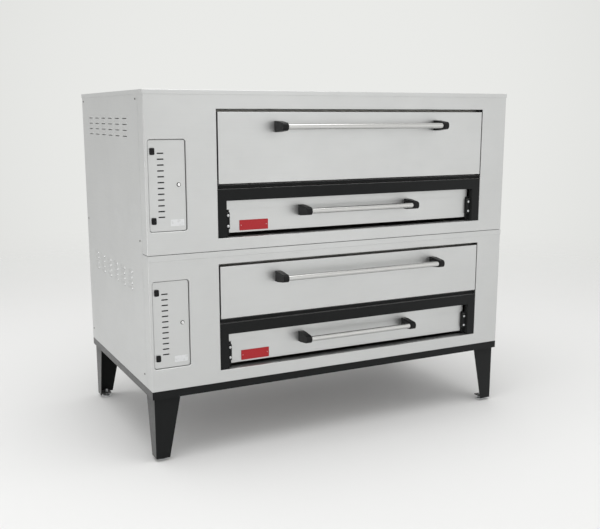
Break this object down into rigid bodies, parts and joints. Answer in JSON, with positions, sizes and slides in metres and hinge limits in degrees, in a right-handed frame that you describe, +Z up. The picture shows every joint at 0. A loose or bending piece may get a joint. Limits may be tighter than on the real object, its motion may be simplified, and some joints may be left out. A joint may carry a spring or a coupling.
{
  "type": "stacked deck pizza oven",
  "caption": "Double-stacked gas deck pizza oven on tapered legs, with drop-down chamber and burner doors, tube handles and slotted control doors.",
  "frame": {"origin": "on the floor, under the middle of the oven's outline from door handles to flue collars", "axes": "+X to the oven's right as seen from the front, +Y from the front to the back, +Z up"},
  "size_m": [2.041, 1.271, 1.736],
  "materials": {
    "stainless": "satin brushed stainless steel sheet",
    "chamber_steel": "dull aluminised steel",
    "black_enamel": "black powder coat, lightly textured",
    "polished_tube": "polished stainless tube",
    "black_plastic": "moulded black heat-resistant plastic",
    "zinc": "zinc-plated steel",
    "stone": "baked ceramic hearth stone",
    "insulation": "ceramic fibre blanket",
    "gas_pipe": "black iron pipe and castings",
    "spring_steel": "oiled spring steel",
    "chrome": "chrome-plated lock",
    "red_paint": "red enamelled badge plate"
  },
  "bodies": {
    "body": {"base_frame": "black_enamel", "left_side_panel": "stainless", "right_side_panel": "stainless", "floor_pan": "chamber_steel", "leg_front_left": "black_enamel", "leg_front_right": "black_enamel", "leg_rear_left": "black_enamel", "leg_rear_right": "black_enamel", "lower_front_panel": "stainless", "lower_back_panel": "stainless", "lower_top_panel": "stainless", "lower_chamber_liner": "chamber_steel", "lower_insulation": "insulation", "lower_hearth_stone": "stone", "lower_gas_train": "gas_pipe", "lower_door_frame": "black_enamel", "lower_counterbalance_spring": "spring_steel", "upper_front_panel": "stainless", "upper_back_panel": "stainless", "upper_top_panel": "stainless", "upper_chamber_liner": "chamber_steel", "upper_insulation": "insulation", "upper_hearth_stone": "stone", "upper_gas_train": "gas_pipe", "upper_door_frame": "black_enamel", "upper_counterbalance_spring": "spring_steel"},
    "foot_front_left": {"foot_front_left": "zinc"},
    "foot_front_right": {"foot_front_right": "zinc"},
    "foot_rear_left": {"foot_rear_left": "zinc"},
    "foot_rear_right": {"foot_rear_right": "zinc"},
    "lower_chamber_door": {"lower_chamber_door": "stainless", "lower_door_shaft": "gas_pipe", "lower_door_handle_tube": "polished_tube", "lower_door_handle_mount_left": "black_plastic", "lower_door_handle_mount_right": "black_plastic"},
    "lower_spring_rod": {"lower_spring_rod": "zinc"},
    "lower_burner_door": {"lower_burner_door": "stainless", "lower_badge": "red_paint", "lower_burner_door_handle_tube": "polished_tube", "lower_burner_door_handle_mount_left": "black_plastic", "lower_burner_door_handle_mount_right": "black_plastic"},
    "lower_control_door": {"lower_control_door": "stainless"},
    "lower_latch": {"lower_control_door_latch": "chrome"},
    "lower_thermostat_dial": {"lower_thermostat_dial": "black_plastic"},
    "lower_gas_valve_knob": {"lower_gas_valve_knob": "black_plastic"},
    "upper_chamber_door": {"upper_chamber_door": "stainless", "upper_door_shaft": "gas_pipe", "upper_door_handle_tube": "polished_tube", "upper_door_handle_mount_left": "black_plastic", "upper_door_handle_mount_right": "black_plastic"},
    "upper_spring_rod": {"upper_spring_rod": "zinc"},
    "upper_burner_door": {"upper_burner_door": "stainless", "upper_badge": "red_paint", "upper_burner_door_handle_tube": "polished_tube", "upper_burner_door_handle_mount_left": "black_plastic", "upper_burner_door_handle_mount_right": "black_plastic"},
    "upper_control_door": {"upper_control_door": "stainless"},
    "upper_latch": {"upper_control_door_latch": "chrome"},
    "upper_thermostat_dial": {"upper_thermostat_dial": "black_plastic"},
    "upper_gas_valve_knob": {"upper_gas_valve_knob": "black_plastic"}
  },
  "joints": [
    {"name": "foot_front_left_turn", "type": "hinge", "parent": "body", "child": "foot_front_left", "pos_m": [-0.964, -0.4865, 0.02], "axis": [0, 0, 1], "continuous": true},
    {"name": "foot_front_right_turn", "type": "hinge", "parent": "body", "child": "foot_front_right", "pos_m": [0.964, -0.4865, 0.02], "axis": [0, 0, 1], "continuous": true},
    {"name": "foot_rear_left_turn", "type": "hinge", "parent": "body", "child": "foot_rear_left", "pos_m": [-0.964, 0.5555, 0.02], "axis": [0, 0, 1], "continuous": true},
    {"name": "foot_rear_right_turn", "type": "hinge", "parent": "body", "child": "foot_rear_right", "pos_m": [0.964, 0.5555, 0.02], "axis": [0, 0, 1], "continuous": true},
    {"name": "lower_chamber_door_hinge", "type": "hinge", "parent": "body", "child": "lower_chamber_door", "pos_m": [0.0934, -0.5265, 0.678], "axis": [1, 0, 0], "range_deg": [0, 90], "stiffness_Nm_per_rad": 9, "springref_deg": -20.05, "deforming": ["lower_counterbalance_spring"]},
    {"name": "lower_spring_rod_pivot", "type": "hinge", "parent": "lower_chamber_door", "child": "lower_spring_rod", "pos_m": [-0.792, -0.4841, 0.6356], "axis": [1, 0, 0], "range_deg": [-90, 0]},
    {"name": "lower_burner_door_hinge", "type": "hinge", "parent": "body", "child": "lower_burner_door", "pos_m": [0.0934, -0.4905, 0.441], "axis": [1, 0, 0], "range_deg": [0, 90]},
    {"name": "lower_control_door_hinge", "type": "hinge", "parent": "body", "child": "lower_control_door", "pos_m": [-0.9985, -0.5415, 0.6717], "axis": [0, 0, -1], "range_deg": [0, 110]},
    {"name": "lower_latch_turn", "type": "hinge", "parent": "lower_control_door", "child": "lower_latch", "pos_m": [-0.858, -0.5365, 0.6717], "axis": [0, -1, 0], "range_deg": [0, 90]},
    {"name": "lower_thermostat_turn", "type": "hinge", "parent": "body", "child": "lower_thermostat_dial", "pos_m": [-0.915, -0.4685, 0.753], "axis": [0, 1, 0], "range_deg": [0, 270]},
    {"name": "lower_gas_valve_turn", "type": "hinge", "parent": "body", "child": "lower_gas_valve_knob", "pos_m": [-0.915, -0.4705, 0.568], "axis": [0, 1, 0], "range_deg": [0, 180]},
    {"name": "upper_chamber_door_hinge", "type": "hinge", "parent": "body", "child": "upper_chamber_door", "pos_m": [0.0934, -0.5265, 1.321], "axis": [1, 0, 0], "range_deg": [0, 90], "stiffness_Nm_per_rad": 9, "springref_deg": -20.05, "deforming": ["upper_counterbalance_spring"]},
    {"name": "upper_spring_rod_pivot", "type": "hinge", "parent": "upper_chamber_door", "child": "upper_spring_rod", "pos_m": [-0.792, -0.4841, 1.2786], "axis": [1, 0, 0], "range_deg": [-90, 0]},
    {"name": "upper_burner_door_hinge", "type": "hinge", "parent": "body", "child": "upper_burner_door", "pos_m": [0.0934, -0.4905, 1.084], "axis": [1, 0, 0], "range_deg": [0, 90]},
    {"name": "upper_control_door_hinge", "type": "hinge", "parent": "body", "child": "upper_control_door", "pos_m": [-0.9985, -0.5415, 1.3147], "axis": [0, 0, -1], "range_deg": [0, 110]},
    {"name": "upper_latch_turn", "type": "hinge", "parent": "upper_control_door", "child": "upper_latch", "pos_m": [-0.858, -0.5365, 1.3147], "axis": [0, -1, 0], "range_deg": [0, 90]},
    {"name": "upper_thermostat_turn", "type": "hinge", "parent": "body", "child": "upper_thermostat_dial", "pos_m": [-0.915, -0.4685, 1.396], "axis": [0, 1, 0], "range_deg": [0, 270]},
    {"name": "upper_gas_valve_turn", "type": "hinge", "parent": "body", "child": "upper_gas_valve_knob", "pos_m": [-0.915, -0.4705, 1.211], "axis": [0, 1, 0], "range_deg": [0, 180]}
  ],
  "couplings": [
    {"joint": "lower_spring_rod_pivot", "follows": "lower_chamber_door_hinge", "ratio": -1},
    {"joint": "upper_spring_rod_pivot", "follows": "upper_chamber_door_hinge", "ratio": -1}
  ]
}
